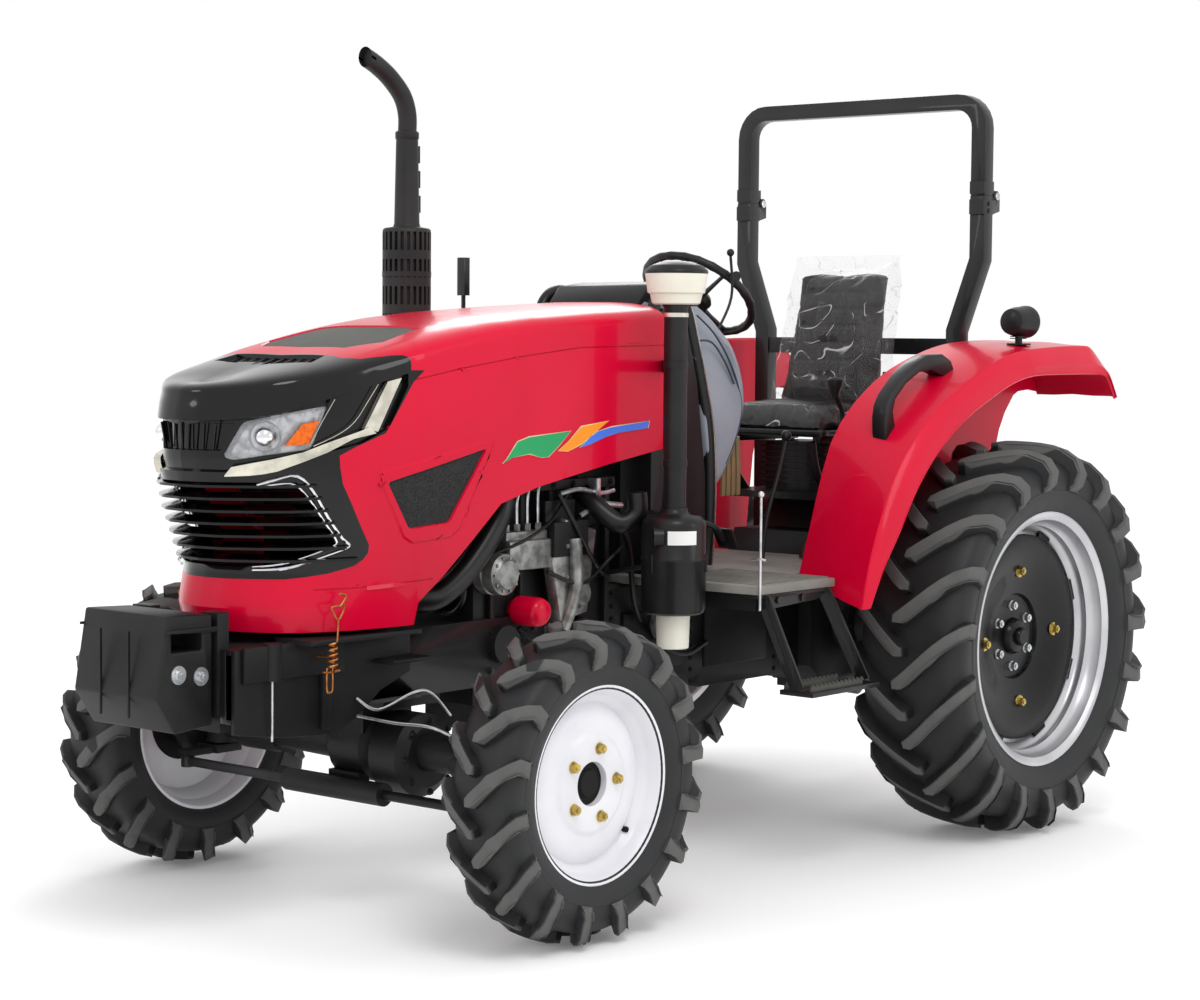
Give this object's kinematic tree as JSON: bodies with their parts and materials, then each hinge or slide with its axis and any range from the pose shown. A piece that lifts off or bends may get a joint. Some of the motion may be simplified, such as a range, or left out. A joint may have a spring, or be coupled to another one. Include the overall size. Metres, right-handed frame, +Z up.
{
  "type": "compact four-wheel-drive farm tractor with folding roll bar",
  "caption": "Compact farm tractor with opening hood, steered front wheels, folding roll bar, step-through platform and rear three-point linkage.",
  "frame": {"origin": "on the ground under the middle of the tractor's overall length and width", "axes": "+Z up, the tractor faces -Y, and its own left side is +X"},
  "size_m": [1.911, 3.7702, 2.4215],
  "materials": {
    "red_paint": "glossy crimson enamel with a clear coat",
    "gloss_black": "high gloss black moulding",
    "satin_black": "satin black powder coat",
    "cast_black": "rough black-painted casting",
    "console_grey": "fine-grained blue-grey moulding",
    "floor_mat": "ribbed dark rubber mat on steel",
    "tyre_rubber": "matte black tyre rubber",
    "white_steel": "white painted pressed steel",
    "silver_steel": "silver painted steel",
    "bright_rod": "hard-chromed rod",
    "alloy": "as-cast aluminium",
    "black_hose": "smooth black moulded hose",
    "black_vinyl": "black quilted vinyl",
    "cream_bowl": "cream translucent moulding",
    "headlamp_lens": "clear moulded lens"
  },
  "bodies": {
    "chassis": {"front_axle": "cast_black", "rear_axle_case": "cast_black", "transmission": "cast_black", "engine": "cast_black", "frame_rail_left": "satin_black", "frame_rail_right": "satin_black", "front_bolster": "satin_black", "front_weight": "satin_black", "radiator": "cast_black", "radiator_hose": "black_hose", "oil_filter": "red_paint", "alternator": "alloy", "air_cleaner": "satin_black", "air_hose": "black_hose", "intake_pipe": "satin_black", "precleaner": "cream_bowl", "exhaust": "cast_black", "console": "console_grey", "floor": "floor_mat", "step_left": "satin_black", "step_right": "satin_black", "fender_left": "red_paint", "fender_right": "red_paint", "grab_handle_left": "satin_black", "grab_handle_right": "satin_black", "seat_base": "satin_black", "seat_cushion": "black_vinyl", "seat_back": "black_vinyl", "gear_lever": "satin_black", "mirror": "satin_black", "roll_bar_base": "satin_black"},
    "hood": {"hood_shell": "red_paint", "nose_mask": "gloss_black", "headlamp_left": "headlamp_lens", "headlamp_right": "headlamp_lens", "grille": "gloss_black"},
    "steering_wheel": {"steering_wheel": "satin_black"},
    "tie_rod": {"tie_rod": "bright_rod"},
    "knuckle_left": {"steering_knuckle_left": "cast_black"},
    "knuckle_right": {"steering_knuckle_right": "cast_black"},
    "front_wheel_left": {"front_rim_left": "white_steel", "front_tyre_left": "tyre_rubber"},
    "front_wheel_right": {"front_rim_right": "white_steel", "front_tyre_right": "tyre_rubber"},
    "rear_wheel_left": {"rear_rim_left": "silver_steel", "rear_disc_left": "satin_black", "rear_tyre_left": "tyre_rubber"},
    "rear_wheel_right": {"rear_rim_right": "silver_steel", "rear_disc_right": "satin_black", "rear_tyre_right": "tyre_rubber"},
    "roll_bar_hoop": {"roll_bar_hoop": "satin_black"},
    "lift_arms": {"lift_arms": "cast_black"},
    "lift_rod_left": {"lift_rod_left": "bright_rod"},
    "lift_rod_right": {"lift_rod_right": "bright_rod"},
    "lower_link_left": {"lower_link_left": "cast_black"},
    "lower_link_right": {"lower_link_right": "cast_black"}
  },
  "joints": [
    {"name": "hood_lift", "type": "hinge", "parent": "chassis", "child": "hood", "pos_m": [0, -0.1051, 1.645], "axis": [-1, 0, 0], "range_deg": [0, 55]},
    {"name": "steer_left", "type": "hinge", "parent": "chassis", "child": "knuckle_left", "pos_m": [0.62, -0.9851, 0.439], "axis": [0, 0, 1], "range_deg": [-35, 35]},
    {"name": "steer_right", "type": "hinge", "parent": "chassis", "child": "knuckle_right", "pos_m": [-0.62, -0.9851, 0.439], "axis": [0, 0, 1], "range_deg": [-35, 35]},
    {"name": "steering_wheel_turn", "type": "hinge", "parent": "chassis", "child": "steering_wheel", "pos_m": [0, 0.4859, 1.712], "axis": [0, 0.6428, 0.766], "range_deg": [-560, 560]},
    {"name": "tie_rod_slide", "type": "slide", "parent": "chassis", "child": "tie_rod", "axis": [1, 0, 0], "range_m": [-0.08, 0.08]},
    {"name": "front_wheel_left_spin", "type": "hinge", "parent": "knuckle_left", "child": "front_wheel_left", "pos_m": [0.766, -0.9851, 0.419], "axis": [1, 0, 0], "continuous": true},
    {"name": "front_wheel_right_spin", "type": "hinge", "parent": "knuckle_right", "child": "front_wheel_right", "pos_m": [-0.766, -0.9851, 0.419], "axis": [1, 0, 0], "continuous": true},
    {"name": "rear_wheel_left_spin", "type": "hinge", "parent": "chassis", "child": "rear_wheel_left", "pos_m": [0.77, 1.1099, 0.624], "axis": [1, 0, 0], "continuous": true},
    {"name": "rear_wheel_right_spin", "type": "hinge", "parent": "chassis", "child": "rear_wheel_right", "pos_m": [-0.77, 1.1099, 0.624], "axis": [1, 0, 0], "continuous": true},
    {"name": "roll_bar_fold", "type": "hinge", "parent": "chassis", "child": "roll_bar_hoop", "pos_m": [0, 1.4409, 2.052], "axis": [-1, 0, 0], "range_deg": [0, 110]},
    {"name": "hitch_lift", "type": "hinge", "parent": "chassis", "child": "lift_arms", "pos_m": [0, 1.1699, 0.985], "axis": [1, 0, 0], "range_deg": [-8, 48]},
    {"name": "lift_rod_left_swing", "type": "hinge", "parent": "lift_arms", "child": "lift_rod_left", "pos_m": [0.275, 1.49009, 0.90517], "axis": [1, 0, 0], "range_deg": [-50, 10]},
    {"name": "lift_rod_right_swing", "type": "hinge", "parent": "lift_arms", "child": "lift_rod_right", "pos_m": [-0.275, 1.49009, 0.90517], "axis": [1, 0, 0], "range_deg": [-50, 10]},
    {"name": "lower_link_left_swing", "type": "hinge", "parent": "chassis", "child": "lower_link_left", "pos_m": [0.315, 1.1699, 0.455], "axis": [1, 0, 0], "range_deg": [-10, 50]},
    {"name": "lower_link_right_swing", "type": "hinge", "parent": "chassis", "child": "lower_link_right", "pos_m": [-0.315, 1.1699, 0.455], "axis": [1, 0, 0], "range_deg": [-10, 50]}
  ],
  "couplings": [
    {"joint": "steer_right", "follows": "steer_left", "ratio": 1},
    {"joint": "steering_wheel_turn", "follows": "steer_left", "ratio": 15},
    {"joint": "tie_rod_slide", "follows": "steer_left", "m_per_rad": 0.125},
    {"joint": "lift_rod_left_swing", "follows": "hitch_lift", "ratio": -1},
    {"joint": "lift_rod_right_swing", "follows": "hitch_lift", "ratio": -1},
    {"joint": "lower_link_left_swing", "follows": "hitch_lift", "ratio": 1},
    {"joint": "lower_link_right_swing", "follows": "hitch_lift", "ratio": 1}
  ]
}
